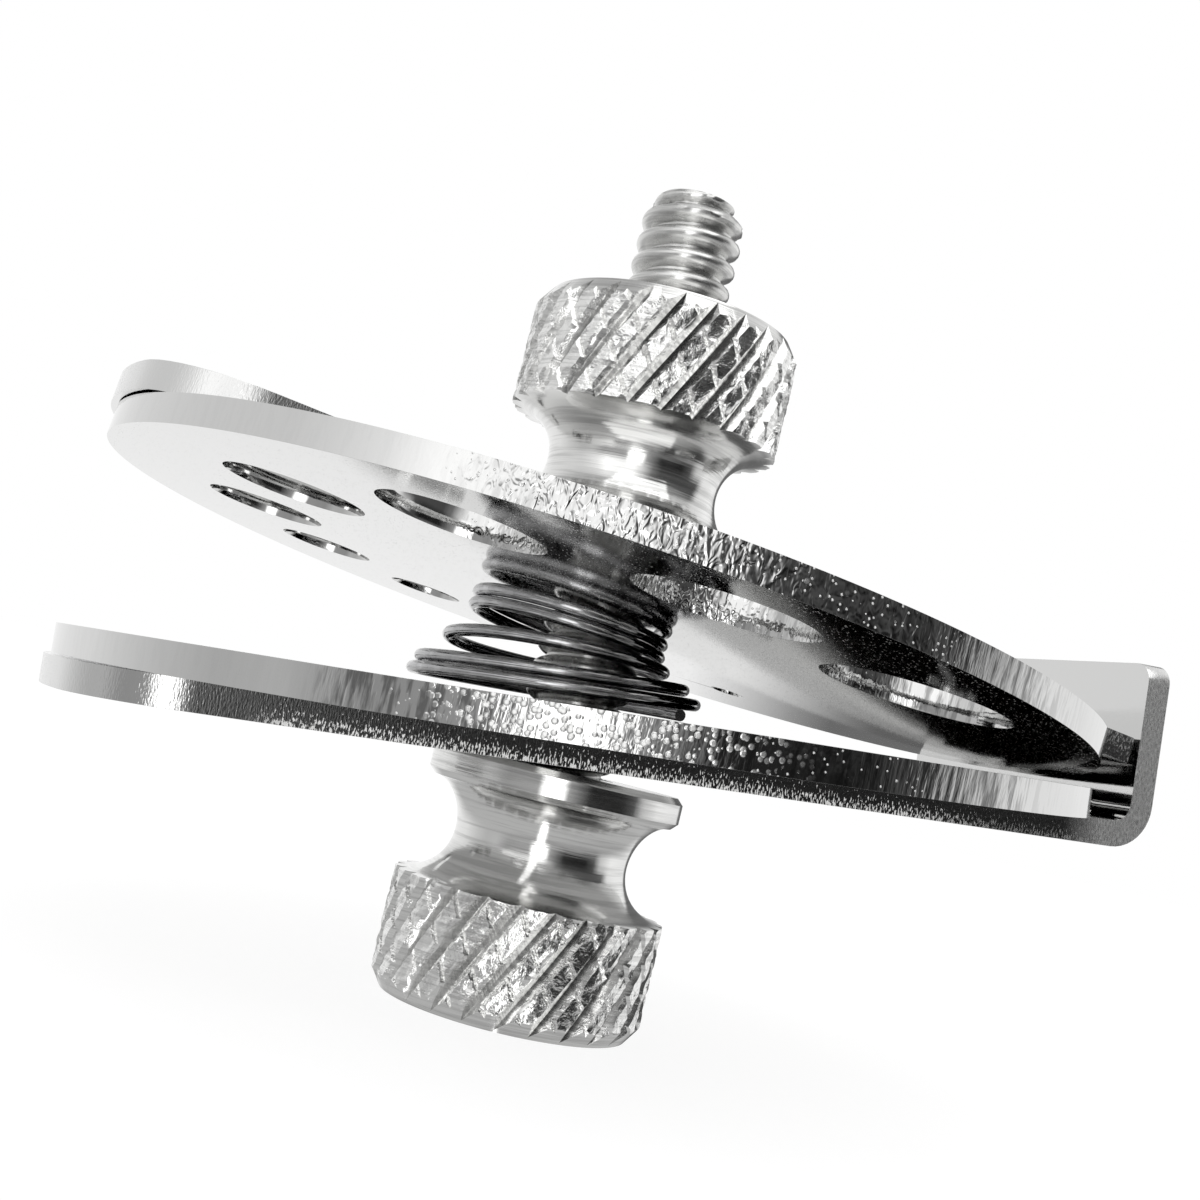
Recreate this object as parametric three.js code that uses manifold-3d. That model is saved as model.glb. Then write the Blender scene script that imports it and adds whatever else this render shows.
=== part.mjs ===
// Pearl vise: two strips joined at a hinge, two hole discs, a conical spring and a clamp screw.
// Millimetres, +Z up. The screw stands upright on the flat end of its lower knob.
// The origin is the middle of that end face. The jaws open towards -X and hinge at +X.
import * as THREE from 'three';
import { mergeVertices } from 'three/addons/utils/BufferGeometryUtils.js';
import Module from 'manifold-3d';

const wasm = await Module();
wasm.setup();

// Driving sizes: plates
const discDiameter = 45;
const plateThickness = 1.18;
const plateGap = 0.07;
const jawAngleDegrees = 9.9;
const rimClearance = 0.18;
const stripWidth = 18;
const stripOverhang = 0.28;
const stripCornerRadius = 4.8;
const discHoleClearance = 0.55;
const stripHoleClearance = 0.7;
const drillHoleDiameter = 7.9;

// Driving sizes: the ring of graduated holes in each disc
const workHoleCount = 10;
const largestWorkHole = 7.9;
const workHoleStep = 0.68;
const workHoleRimWall = 2.8;
const holedRingShare = 0.737;
const firstWorkHoleDegrees = -54;
const seatHoleIndex = 3;

// Driving sizes: hinge end
const flangeRimGap = 1.16;
const flangeHeight = 5.96;
const flangeCornerRadius = 0.9;
const bendInnerRadius = 0.8;
const slotWidth = 11.7;
const slotHeight = 1.9;
const slotCornerRadius = 0.28;
const tongueSideClearance = 0.4;
const tongueReach = 1.3;
const shoulderClearance = 0.34;

// Driving sizes: screw and knobs
const screwDiameter = 4.75;
const screwTipChamfer = 0.7;
const screwExposedLength = 5.78;
const knobBoreClearance = 0.09;
const knurlDiameter = 12.3;
const knurlHeight = 5.23;
const knurlChamfer = 0.44;
const knurlGrooveCount = 25;
const knurlDepth = 0.38;
const knurlAngleDegrees = 30;
const knurlLandShare = 0.45;
const waistHeight = 4.33;
const waistRadius = 3.95;
const collarRadius = 5.74;
const collarHeight = 1.41;
const collarChamfer = 0.28;
const knobSeatClearance = 0.045;

// Driving sizes: spring
const wireDiameter = 0.56;
const springLowerRadius = 6.1;
const springUpperRadius = 3.95;
const springCurls = 3;
const springSeatClearance = 0.13;
const springShift = 1;
const springStartDegrees = 180;

// Facet counts
const rimFacets = 96;
const holeFacets = 24;
const arcFacets = 10;
const cornerFacets = 4;
const screwFacets = 32;
const knurlRows = 5;
const waistRows = 7;
const facetsPerGroove = 3;
const curlSteps = 8;
const wireSides = 5;

// Shares of a whole
const half = 0.5;
const quarterTurn = Math.PI * half;
const fullTurn = Math.PI / half;

// Places worked out from the sizes
const jawHalfAngle = THREE.MathUtils.degToRad(jawAngleDegrees) * half;
const discRadius = discDiameter * half;
const workRingRadius = discRadius - workHoleRimWall - largestWorkHole * half;
const screwRadius = screwDiameter * half;
const wireRadius = wireDiameter * half;
const stripHalfWidth = stripWidth * half;
const discStack = plateThickness + plateGap;
const jawStack = discStack + plateThickness;
const jawGap = (discDiameter * Math.sin(jawHalfAngle) + rimClearance) / Math.cos(jawHalfAngle);
const flangeInner = discRadius + flangeRimGap;
const flangeOuter = flangeInner + plateThickness;
const knobHeight = knurlHeight + waistHeight + collarHeight;
const tiltedSeat = jawStack / Math.cos(jawHalfAngle) + collarRadius * Math.tan(jawHalfAngle);
const lowerFaceHeight = knobHeight + knobSeatClearance + tiltedSeat;
const middleHeight = lowerFaceHeight + jawGap * half;
const upperFaceHeight = lowerFaceHeight + jawGap;
const nutSeatHeight = upperFaceHeight + tiltedSeat + knobSeatClearance;
const screwTop = nutSeatHeight + knobHeight + screwExposedLength;

// Materials
function metal(color, roughness) {
  return new THREE.MeshStandardMaterial({ color, roughness, metalness: 1 });
}

const plateMetal = () => metal('#d9d9d7', 0.12);
const knobMetal = () => metal('#cfcfcd', 0.28);
const screwMetal = () => metal('#c8c8c6', 0.24);
const springMetal = () => metal('#1d1d1f', 0.3);

// Joining and cutting closed solids
function toSolid(geometry) {
  const bare = geometry.clone();
  bare.deleteAttribute('normal');
  bare.deleteAttribute('uv');
  const merged = mergeVertices(bare);
  const vertProperties = new Float32Array(merged.attributes.position.array);
  const triVerts = new Uint32Array(merged.index.array);
  return new wasm.Manifold(new wasm.Mesh({ numProp: 3, vertProperties, triVerts }));
}

function toGeometry(solid) {
  const mesh = solid.getMesh();
  const geometry = new THREE.BufferGeometry();
  geometry.setAttribute('position', new THREE.BufferAttribute(mesh.vertProperties, mesh.numProp));
  geometry.setIndex(new THREE.BufferAttribute(mesh.triVerts, 1));
  geometry.computeVertexNormals();
  return geometry;
}

function named(name, geometry, material) {
  const mesh = new THREE.Mesh(geometry, material);
  mesh.name = name;
  return mesh;
}

// Outlines
function circlePoints(x, y, radius, facets) {
  const points = [];
  for (let step = 0; step < facets; step += 1) {
    const angle = fullTurn * step / facets;
    points.push(new THREE.Vector2(x + radius * Math.cos(angle), y + radius * Math.sin(angle)));
  }
  return points;
}

function arcPoints(x, y, radius, from, to, facets) {
  const points = [];
  for (let step = 0; step <= facets; step += 1) {
    const angle = from + (to - from) * step / facets;
    points.push(new THREE.Vector2(x + radius * Math.cos(angle), y + radius * Math.sin(angle)));
  }
  return points;
}

function flatPlate(outline, holes, depth) {
  const shape = new THREE.Shape(outline);
  shape.holes = holes.map((points) => new THREE.Path(points));
  return new THREE.ExtrudeGeometry(shape, { depth, bevelEnabled: false, steps: 1 });
}

// The free end of a strip follows the disc's rim, with a rounded corner on each side.
function stripEndPoints() {
  const endRadius = discRadius + stripOverhang;
  const cornerY = stripHalfWidth - stripCornerRadius;
  const cornerReach = endRadius - stripCornerRadius;
  const cornerX = -Math.sqrt(cornerReach * cornerReach - cornerY * cornerY);
  const sweep = Math.atan2(cornerY, -cornerX);
  const rimStart = Math.PI - sweep;
  const rimEnd = Math.PI + sweep;
  const lastTurn = Math.PI + quarterTurn;
  const firstCorner = arcPoints(cornerX, cornerY, stripCornerRadius, quarterTurn, rimStart, arcFacets);
  const rim = arcPoints(0, 0, endRadius, rimStart, rimEnd, arcFacets);
  const lastCorner = arcPoints(cornerX, -cornerY, stripCornerRadius, rimEnd, lastTurn, arcFacets);
  return [...firstCorner, ...rim.slice(1, -1), ...lastCorner];
}

function screwHole(clearance) {
  return circlePoints(0, 0, screwRadius + clearance, screwFacets);
}

function stripHoles() {
  const drillHole = circlePoints(-workRingRadius, 0, drillHoleDiameter * half, screwFacets);
  return [screwHole(stripHoleClearance), drillHole];
}

// Discs with a ring of graduated holes: each wall between two holes is as wide as the next.
function workHoles() {
  const steps = workHoleCount - 1;
  const holeLengths = steps * (largestWorkHole - workHoleStep * steps * half);
  const wall = (fullTurn * workRingRadius * holedRingShare - holeLengths) / steps;
  const holes = [];
  let arcLength = 0;
  for (let index = 0; index < workHoleCount; index += 1) {
    const diameter = largestWorkHole - workHoleStep * index;
    const angle = THREE.MathUtils.degToRad(firstWorkHoleDegrees) - arcLength / workRingRadius;
    holes.push({ angle, radius: diameter * half });
    arcLength += diameter - workHoleStep * half + wall;
  }
  return holes;
}

function discGeometry(flipped) {
  const holes = workHoles();
  const seatAngle = holes[seatHoleIndex].angle;
  const cut = holes.map(({ angle, radius }) => {
    const turned = flipped ? seatAngle + seatAngle - angle : angle;
    const across = workRingRadius * Math.sin(turned);
    return circlePoints(workRingRadius * Math.cos(turned), across, radius, holeFacets);
  });
  const openings = [screwHole(discHoleClearance), ...cut];
  return flatPlate(circlePoints(0, 0, discRadius, rimFacets), openings, plateThickness);
}

// Lower strip: flat, with its end bent up into the flange that holds the hinge slot.
function bentProfile() {
  const bendOuterRadius = bendInnerRadius + plateThickness;
  const bendX = flangeOuter - bendOuterRadius;
  const farEnd = -discDiameter;
  const outerBend = arcPoints(bendX, bendOuterRadius, bendOuterRadius, -quarterTurn, 0, arcFacets);
  const innerBend = arcPoints(bendX, bendOuterRadius, bendInnerRadius, 0, -quarterTurn, arcFacets);
  const top = jawStack + flangeHeight;
  return [
    new THREE.Vector2(farEnd, 0),
    ...outerBend,
    new THREE.Vector2(flangeOuter, top),
    new THREE.Vector2(flangeInner, top),
    ...innerBend,
    new THREE.Vector2(farEnd, plateThickness),
  ];
}

function lowerStripGeometry() {
  const side = flatPlate(bentProfile(), [], stripWidth);
  side.rotateX(quarterTurn);
  side.translate(0, stripHalfWidth, 0);
  const top = jawStack + flangeHeight;
  const plan = [
    ...stripEndPoints(),
    new THREE.Vector2(flangeOuter + plateThickness, -stripHalfWidth),
    new THREE.Vector2(flangeOuter + plateThickness, stripHalfWidth),
  ];
  const planBlock = flatPlate(plan, stripHoles(), top + plateThickness);
  planBlock.translate(0, 0, -plateThickness * half);
  const cornerY = stripHalfWidth - flangeCornerRadius;
  const cornerZ = top - flangeCornerRadius;
  const front = [
    new THREE.Vector2(-stripHalfWidth, -plateThickness),
    new THREE.Vector2(stripHalfWidth, -plateThickness),
    ...arcPoints(cornerY, cornerZ, flangeCornerRadius, 0, quarterTurn, arcFacets),
    ...arcPoints(-cornerY, cornerZ, flangeCornerRadius, quarterTurn, Math.PI, arcFacets),
  ];
  const slotMiddle = jawStack + hingeHeight();
  const slotEnd = slotWidth * half - slotCornerRadius;
  const slotRise = slotHeight * half - slotCornerRadius;
  const slotCorner = (y, z, start) =>
    arcPoints(y, z, slotCornerRadius, start, start + quarterTurn, cornerFacets);
  const slot = [
    ...slotCorner(slotEnd, slotMiddle - slotRise, -quarterTurn),
    ...slotCorner(slotEnd, slotMiddle + slotRise, 0),
    ...slotCorner(-slotEnd, slotMiddle + slotRise, quarterTurn),
    ...slotCorner(-slotEnd, slotMiddle - slotRise, Math.PI),
  ];
  const frontBlock = flatPlate(front, [slot], discDiameter);
  frontBlock.rotateX(quarterTurn);
  frontBlock.rotateZ(quarterTurn);
  frontBlock.translate(flangeOuter + plateThickness - discDiameter, 0, 0);
  const blank = toSolid(side).intersect(toSolid(planBlock));
  const bendStart = flangeInner - bendInnerRadius;
  const flat = blank.intersect(deckBlock(bendStart));
  const bent = blank.subtract(deckBlock(bendStart - plateThickness)).intersect(toSolid(frontBlock));
  return toGeometry(flat.add(bent));
}

// All the room over and under the strip, up to a place along it.
function deckBlock(end) {
  const deck = new THREE.BoxGeometry(discDiameter + end, discDiameter, discDiameter);
  deck.translate((end - discDiameter) * half, 0, 0);
  return toSolid(deck);
}

// The hinge line lies in the middle of the flange, where the tongue's middle crosses it.
// It is worked out in the lower jaw's own directions: along its disc, and up from its top face.
function hingeHeight() {
  const fullAngle = jawHalfAngle + jawHalfAngle;
  const tongueMiddle = discStack + plateThickness * half;
  const along = alongUpperStrip(flangeInner + plateThickness * half, tongueMiddle);
  const start = jawGap * Math.cos(jawHalfAngle);
  return start + tongueMiddle * Math.cos(fullAngle) - along * Math.sin(fullAngle);
}

// Turns a reach along the lower jaw into the reach along the upper strip, at a height above
// the upper disc's working face.
function alongUpperStrip(reach, height) {
  const fullAngle = jawHalfAngle + jawHalfAngle;
  const shift = jawGap * Math.sin(jawHalfAngle) + height * Math.sin(fullAngle);
  return (reach - shift) / Math.cos(fullAngle);
}

// Upper strip: flat, its end narrowed to a tongue that reaches through the slot.
function upperStripGeometry() {
  const tongueHalfWidth = slotWidth * half - tongueSideClearance;
  const shoulder = alongUpperStrip(flangeInner - shoulderClearance, jawStack);
  const tongueEnd = alongUpperStrip(flangeOuter + tongueReach, jawStack);
  const outline = [
    ...stripEndPoints(),
    new THREE.Vector2(shoulder, -stripHalfWidth),
    new THREE.Vector2(shoulder, -tongueHalfWidth),
    new THREE.Vector2(tongueEnd, -tongueHalfWidth),
    new THREE.Vector2(tongueEnd, tongueHalfWidth),
    new THREE.Vector2(shoulder, tongueHalfWidth),
    new THREE.Vector2(shoulder, stripHalfWidth),
  ];
  return flatPlate(outline, stripHoles(), plateThickness);
}

// Screw: a plain rod for the thread, flush with the lower knob's end and chamfered at its tip.
function screwGeometry() {
  const outline = [
    new THREE.Vector2(0, 0),
    new THREE.Vector2(screwRadius, 0),
    new THREE.Vector2(screwRadius, screwTop - screwTipChamfer),
    new THREE.Vector2(screwRadius - screwTipChamfer, screwTop),
    new THREE.Vector2(0, screwTop),
  ];
  const rod = new THREE.LatheGeometry(outline, screwFacets);
  rod.rotateX(quarterTurn);
  return rod;
}

// Knob: knurled band, hollow waist and seat collar, as rows of points round the axis.
// Each row holds its radius, its height above the knurled end and whether the grooves cut it.
function knobRows() {
  const knurlRadius = knurlDiameter * half;
  const boreRadius = screwRadius + knobBoreClearance;
  const rows = [
    { radius: boreRadius, height: 0, grooved: false },
    { radius: knurlRadius - knurlChamfer - knurlDepth, height: 0, grooved: false },
  ];
  for (let row = 0; row < knurlRows; row += 1) {
    const height = knurlChamfer + (knurlHeight - knurlChamfer) * row / (knurlRows - 1);
    rows.push({ radius: knurlRadius, height, grooved: true });
  }
  const waistStart = knurlRadius - knurlDepth;
  const waistEnd = collarRadius - collarChamfer;
  const waistTop = knurlHeight + waistHeight;
  for (let row = 0; row <= waistRows; row += 1) {
    const share = row / waistRows;
    const line = waistStart + (waistEnd - waistStart) * share;
    const radius = line - (line - waistRadius) * Math.sin(Math.PI * share);
    const height = knurlHeight + waistHeight * waistShare(share);
    rows.push({ radius, height, grooved: false });
  }
  rows.push({ radius: collarRadius, height: waistTop + collarChamfer, grooved: false });
  rows.push({ radius: collarRadius, height: knobHeight - collarChamfer, grooved: false });
  rows.push({ radius: collarRadius - collarChamfer, height: knobHeight, grooved: false });
  rows.push({ radius: boreRadius, height: knobHeight, grooved: false });
  return rows;
}

// The waist is a round hollow, so its rows stand closer together near its two ends.
function waistShare(share) {
  return (1 - Math.cos(Math.PI * share)) * half;
}

function knobGeometry() {
  const rows = knobRows();
  const columns = knurlGrooveCount * facetsPerGroove;
  const positions = [];
  for (const { radius, height, grooved } of rows) {
    for (let column = 0; column < columns; column += 1) {
      const place = grooveAngle(column);
      const inGroove = column % facetsPerGroove === 0;
      const reach = grooved && inGroove ? radius - knurlDepth : radius;
      const turned = place + grooveLead(height);
      positions.push(reach * Math.cos(turned), reach * Math.sin(turned), height);
    }
  }
  return gridGeometry(positions, rows.length, columns, true);
}

// The grooves lean over by the knurl's angle. The points turn back to their start along the
// waist, where the shape is round, so that the bore's points stand straight above one another.
function grooveLead(height) {
  const lean = Math.tan(THREE.MathUtils.degToRad(knurlAngleDegrees));
  const slant = lean * knurlHeight / (knurlDiameter * half);
  if (height === 0) return 0;
  if (height <= knurlHeight) return slant * (height / knurlHeight - half);
  const share = Math.min((height - knurlHeight) / waistHeight, 1);
  return slant * half * (1 - share);
}

// Columns go groove, land edge, land edge, so that each land keeps its share of the pitch.
function grooveAngle(column) {
  const pitch = fullTurn / knurlGrooveCount;
  const groove = Math.floor(column / facetsPerGroove);
  const part = column % facetsPerGroove;
  const landStart = (1 - knurlLandShare) * half;
  const offset = [0, landStart, landStart + knurlLandShare][part];
  return (groove + offset) * pitch;
}

// A closed skin over a grid of points: rows go along it and columns go round it.
function gridGeometry(positions, rowCount, columnCount, ringed) {
  const index = [];
  const lastRow = ringed ? rowCount : rowCount - 1;
  for (let row = 0; row < lastRow; row += 1) {
    const nextRow = (row + 1) % rowCount;
    for (let column = 0; column < columnCount; column += 1) {
      const nextColumn = (column + 1) % columnCount;
      const a = row * columnCount + column;
      const b = row * columnCount + nextColumn;
      const c = nextRow * columnCount + nextColumn;
      const d = nextRow * columnCount + column;
      index.push(a, b, c, a, c, d);
    }
  }
  if (!ringed) {
    for (let column = 1; column < columnCount - 1; column += 1) {
      const top = (rowCount - 1) * columnCount;
      index.push(0, column + 1, column, top, top + column, top + column + 1);
    }
  }
  const geometry = new THREE.BufferGeometry();
  geometry.setAttribute('position', new THREE.Float32BufferAttribute(positions, 3));
  geometry.setIndex(index);
  geometry.computeVertexNormals();
  return geometry;
}

// Spring: its curls narrow upwards and spread to fill the wedge between the two discs, which
// has pushed it off the screw's axis towards the open side.
function springPoint(share) {
  const angle = THREE.MathUtils.degToRad(springStartDegrees) + fullTurn * springCurls * share;
  const radius = springLowerRadius + (springUpperRadius - springLowerRadius) * share;
  const x = radius * Math.cos(angle) - springShift;
  const slack = (wireRadius + springSeatClearance) / Math.cos(jawHalfAngle);
  const reach = jawGap * half - x * Math.tan(jawHalfAngle) - slack;
  return new THREE.Vector3(x, radius * Math.sin(angle), middleHeight + reach * (share + share - 1));
}

function springCentres() {
  const steps = curlSteps * springCurls;
  return Array.from({ length: steps + 1 }, (unused, step) => springPoint(step / steps));
}

function springGeometry() {
  const centres = springCentres();
  const positions = [];
  centres.forEach((centre, step) => {
    const before = centres[Math.max(step - 1, 0)];
    const after = centres[Math.min(step + 1, centres.length - 1)];
    const along = after.clone().sub(before).normalize();
    const outward = new THREE.Vector3(centre.x + springShift, centre.y, 0).normalize();
    const upward = outward.clone().cross(along).normalize();
    const sideways = along.clone().cross(upward);
    for (let side = 0; side < wireSides; side += 1) {
      const angle = fullTurn * side / wireSides;
      const point = centre.clone()
        .addScaledVector(sideways, -wireRadius * Math.cos(angle))
        .addScaledVector(upward, wireRadius * Math.sin(angle));
      positions.push(point.x, point.y, point.z);
    }
  });
  return gridGeometry(positions, centres.length, wireSides, false);
}

// The least gap between two turns, measured on points along the wire.
function springGap() {
  const fineSteps = curlSteps * springCurls * curlSteps;
  const points = Array.from({ length: fineSteps + 1 }, (unused, step) => springPoint(step / fineSteps));
  const apart = fineSteps / springCurls * half;
  let least = Infinity;
  points.forEach((point, index) => {
    for (let other = index + Math.ceil(apart); other < points.length; other += 1) {
      least = Math.min(least, point.distanceTo(points[other]));
    }
  });
  return least - wireDiameter;
}

// Assembly
const vise = new THREE.Group();
vise.name = 'pearl_vise';

const lowerJaw = new THREE.Group();
lowerJaw.position.z = lowerFaceHeight;
lowerJaw.rotation.y = -jawHalfAngle;
const upperJaw = new THREE.Group();
upperJaw.position.z = upperFaceHeight;
upperJaw.rotation.y = jawHalfAngle;
vise.add(lowerJaw, upperJaw);

const lowerStrip = named('lower_strip', lowerStripGeometry(), plateMetal());
lowerStrip.position.z = -jawStack;
const lowerDisc = named('lower_disc', discGeometry(true), plateMetal());
lowerDisc.position.z = -plateThickness;
lowerJaw.add(lowerStrip, lowerDisc);

const upperDisc = named('upper_disc', discGeometry(false), plateMetal());
const upperStrip = named('upper_strip', upperStripGeometry(), plateMetal());
upperStrip.position.z = discStack;
upperJaw.add(upperDisc, upperStrip);

const screw = named('screw', screwGeometry(), screwMetal());
const lowerKnob = named('lower_knob', knobGeometry(), knobMetal());
const thumbNut = named('thumb_nut', knobGeometry(), knobMetal());
thumbNut.rotation.x = Math.PI;
thumbNut.position.z = nutSeatHeight + knobHeight;
const spring = named('spring', springGeometry(), springMetal());
vise.add(screw, lowerKnob, thumbNut, spring);

console.log(`least gap of the spring to itself: ${springGap().toFixed(2)} mm`);

export default vise;
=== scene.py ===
import bpy
import math
import random
from mathutils import Matrix, Vector


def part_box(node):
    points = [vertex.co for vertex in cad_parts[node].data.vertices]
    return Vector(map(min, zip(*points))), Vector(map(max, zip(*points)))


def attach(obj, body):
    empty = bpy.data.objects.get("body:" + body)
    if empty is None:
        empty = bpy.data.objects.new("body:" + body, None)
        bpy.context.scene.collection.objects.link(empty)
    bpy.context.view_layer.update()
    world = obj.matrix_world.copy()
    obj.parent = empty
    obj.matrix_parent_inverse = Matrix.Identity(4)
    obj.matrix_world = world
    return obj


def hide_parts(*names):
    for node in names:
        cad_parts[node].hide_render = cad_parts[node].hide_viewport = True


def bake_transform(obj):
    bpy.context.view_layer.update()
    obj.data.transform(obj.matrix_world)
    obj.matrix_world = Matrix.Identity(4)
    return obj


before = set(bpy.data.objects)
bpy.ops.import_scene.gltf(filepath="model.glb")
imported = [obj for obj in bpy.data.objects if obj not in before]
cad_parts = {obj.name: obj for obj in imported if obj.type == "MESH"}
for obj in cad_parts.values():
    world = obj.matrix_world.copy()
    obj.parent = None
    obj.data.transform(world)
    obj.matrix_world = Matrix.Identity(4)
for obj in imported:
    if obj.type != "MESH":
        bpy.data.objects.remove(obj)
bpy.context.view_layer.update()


# Camera
# The object is seen from a hand's breadth away, from in front of the open side of the jaws.
# The lens stands almost in the plane of the lower disc, and is rolled so that the screw leans.
mm = 0.001


def middle_of(node):
    low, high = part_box(node)
    return (Vector(low) + Vector(high)) / 2


camera_offset = Vector((-23.08, -65.29, -1.39)) * mm
camera_swing = math.radians(-19.42)
camera_rise = math.radians(3.94)
camera_roll = math.radians(13.79)
camera_data = bpy.data.cameras.new("camera")
camera_data.lens = 45.9
camera_data.sensor_width = 36.0
camera_data.shift_x = 0.008
camera_data.shift_y = 0.038
camera_data.clip_start = 1 * mm
camera = bpy.data.objects.new("camera", camera_data)
bpy.context.scene.collection.objects.link(camera)
upright = Matrix.Rotation(camera_swing, 4, "Z") @ Matrix.Rotation(math.radians(90) + camera_rise, 4, "X")
lens_place = Matrix.Translation(middle_of("lower_disc") + camera_offset)
camera.matrix_world = lens_place @ upright @ Matrix.Rotation(camera_roll, 4, "Z")
bpy.context.scene.camera = camera


# Lower strip
# A strip of steel plate with its end bent up into a flange, punched for the screw, the drill and
# the tongue of the upper strip, then bright plated. Its cut edges keep the rough break of the punch.
plate_thickness = 1.18 * mm
jaw_half_angle = math.radians(4.95)
bend_start = 21.4 * mm
edge_softening = 0.07 * mm
sharp_edge = math.radians(40)
smooth_turn = math.radians(35)
broad_facing = 0.7
bend_facing = 0.2
flank_facing = 0.3
weld_gap = 0.002 * mm
flatness = math.radians(0.5)
plate_color = (0.68, 0.68, 0.675)
plate_roughness = 0.045
cloud_depth = 0.0008 * mm
# Pale colour of the frosted marks, which partly stand in for glints: painted highlight.
frost_and_glint_color = (0.95, 0.95, 0.94)
frost_metal = 0.1
frost_roughness = 0.5
dot_core = 0.4
haze_range = (0.35, 0.75)
haze_gain = 2.2
burr_start = (-14.5 * mm, -13 * mm)
burr_fading = (13 * mm, 18 * mm)
burr_fade = 0.25
burr_level = (0.56, 0.62)
break_lift = 0.08
rub_and_sheen_start = (bend_start, bend_start + 2 * mm)
rub_and_sheen_strength = 0.55
edge_roughness = 0.07
edge_tear_depth = 0.01 * mm


def select_none():
    if bpy.context.object and bpy.context.object.mode == "EDIT":
        bpy.ops.object.mode_set(mode="OBJECT")
    bpy.ops.object.select_all(action="DESELECT")


def take(piece):
    select_none()
    piece.select_set(True)
    bpy.context.view_layer.objects.active = piece


def apply_modifiers(piece):
    take(piece)
    for modifier in list(piece.modifiers):
        bpy.ops.object.modifier_apply(modifier=modifier.name)


def copy_of_node(node, name):
    """A new piece with the node's faces, its loose triangles merged into whole faces."""
    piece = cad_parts[node].copy()
    piece.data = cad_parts[node].data.copy()
    piece.name = name
    bpy.context.scene.collection.objects.link(piece)
    piece.parent = None
    piece.matrix_world = Matrix.Identity(4)
    take(piece)
    piece.data.materials.clear()
    bpy.ops.mesh.customdata_custom_splitnormals_clear()
    bpy.ops.object.mode_set(mode="EDIT")
    bpy.ops.mesh.select_all(action="SELECT")
    bpy.ops.mesh.remove_doubles(threshold=weld_gap)
    bpy.ops.mesh.dissolve_limited(angle_limit=flatness)
    bpy.ops.object.mode_set(mode="OBJECT")
    return piece


def soften_edges(piece):
    bevel = piece.modifiers.new("soft edges", "BEVEL")
    bevel.width = edge_softening
    bevel.segments = 2
    bevel.limit_method = "ANGLE"
    bevel.angle_limit = sharp_edge
    bevel.harden_normals = False
    apply_modifiers(piece)
    bpy.ops.object.shade_smooth_by_angle(angle=smooth_turn)
    piece.modifiers.new("flat faces", "WEIGHTED_NORMAL").keep_sharp = True
    apply_modifiers(piece)


class Nodes:
    """The nodes of a finish or of the room's light, with short ways to add more."""

    def __init__(self, tree):
        self.tree = tree

    def add(self, kind, **inputs):
        node = self.tree.nodes.new(kind)
        for label, value in inputs.items():
            node.inputs[label.replace("_", " ")].default_value = value
        return node

    def wire(self, source, target):
        self.tree.links.new(source, target)

    def object_place(self):
        return self.add("ShaderNodeTexCoord").outputs["Object"]

    def remap(self, place, **inputs):
        """The place after a shift, a turn or a stretch."""
        node = self.add("ShaderNodeMapping", **inputs)
        self.wire(place, node.inputs["Vector"])
        return node.outputs["Vector"]

    def parts(self, place):
        """The X, Y and Z of a place."""
        node = self.add("ShaderNodeSeparateXYZ")
        self.wire(place, node.inputs["Vector"])
        return node.outputs

    def noise(self, place, scale, detail, roughness, distortion=0):
        node = self.add("ShaderNodeTexNoise", Scale=scale, Detail=detail, Roughness=roughness)
        node.inputs["Distortion"].default_value = distortion
        self.wire(place, node.inputs["Vector"])
        return node.outputs["Fac"]

    def level(self, value, start, end, low=0, high=1, kind="LINEAR"):
        """A level that goes from low to high while the value goes from start to end."""
        node = self.add("ShaderNodeMapRange", From_Min=start, From_Max=end, To_Min=low, To_Max=high)
        node.interpolation_type = kind
        self.wire(value, node.inputs["Value"])
        return node.outputs["Result"]

    def tones(self, value, stops):
        """A colour that follows the value, from a list of levels and the colour at each."""
        node = self.add("ShaderNodeValToRGB")
        marks = node.color_ramp.elements
        marks[0].position = stops[0][0]
        marks[1].position = stops[-1][0]
        for position, color in stops[1:-1]:
            marks.new(position)
        for mark, (position, color) in zip(marks, stops, strict=True):
            mark.color = (*color, 1)
        self.wire(value, node.inputs["Fac"])
        return node.outputs["Color"]

    def math(self, operation, first, second):
        node = self.add("ShaderNodeMath")
        node.operation = operation
        self.wire(first, node.inputs[0])
        self.wire(second, node.inputs[1])
        return node.outputs["Value"]

    def bump(self, height, depth, under=None, strength=None):
        """The surface raised by a height, on top of the bump that lies under it."""
        node = self.add("ShaderNodeBump", Strength=1, Distance=depth)
        self.wire(height, node.inputs["Height"])
        if under:
            self.wire(under, node.inputs["Normal"])
        if strength:
            self.wire(strength, node.inputs["Strength"])
        return node.outputs["Normal"]


def new_finish(name):
    """A new material, its shader, and the nodes that feed it."""
    material = bpy.data.materials.new(name)
    material.use_nodes = True
    return material, material.node_tree.nodes["Principled BSDF"], Nodes(material.node_tree)


def cell_dots(nodes, place, scale, share, size):
    """Scattered round dots: a share of the cells, each with one dot that fills it by its size."""
    cells = nodes.add("ShaderNodeTexVoronoi", Scale=scale)
    nodes.wire(place, cells.inputs["Vector"])
    draw = nodes.add("ShaderNodeSeparateColor")
    nodes.wire(cells.outputs["Color"], draw.inputs["Color"])
    dome = nodes.level(cells.outputs["Distance"], size * dot_core, size, 1, 0, "SMOOTHSTEP")
    chosen = nodes.level(draw.outputs["Red"], 1 - share, 1.05 - share)
    return nodes.math("MULTIPLY", dome, chosen)


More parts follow.
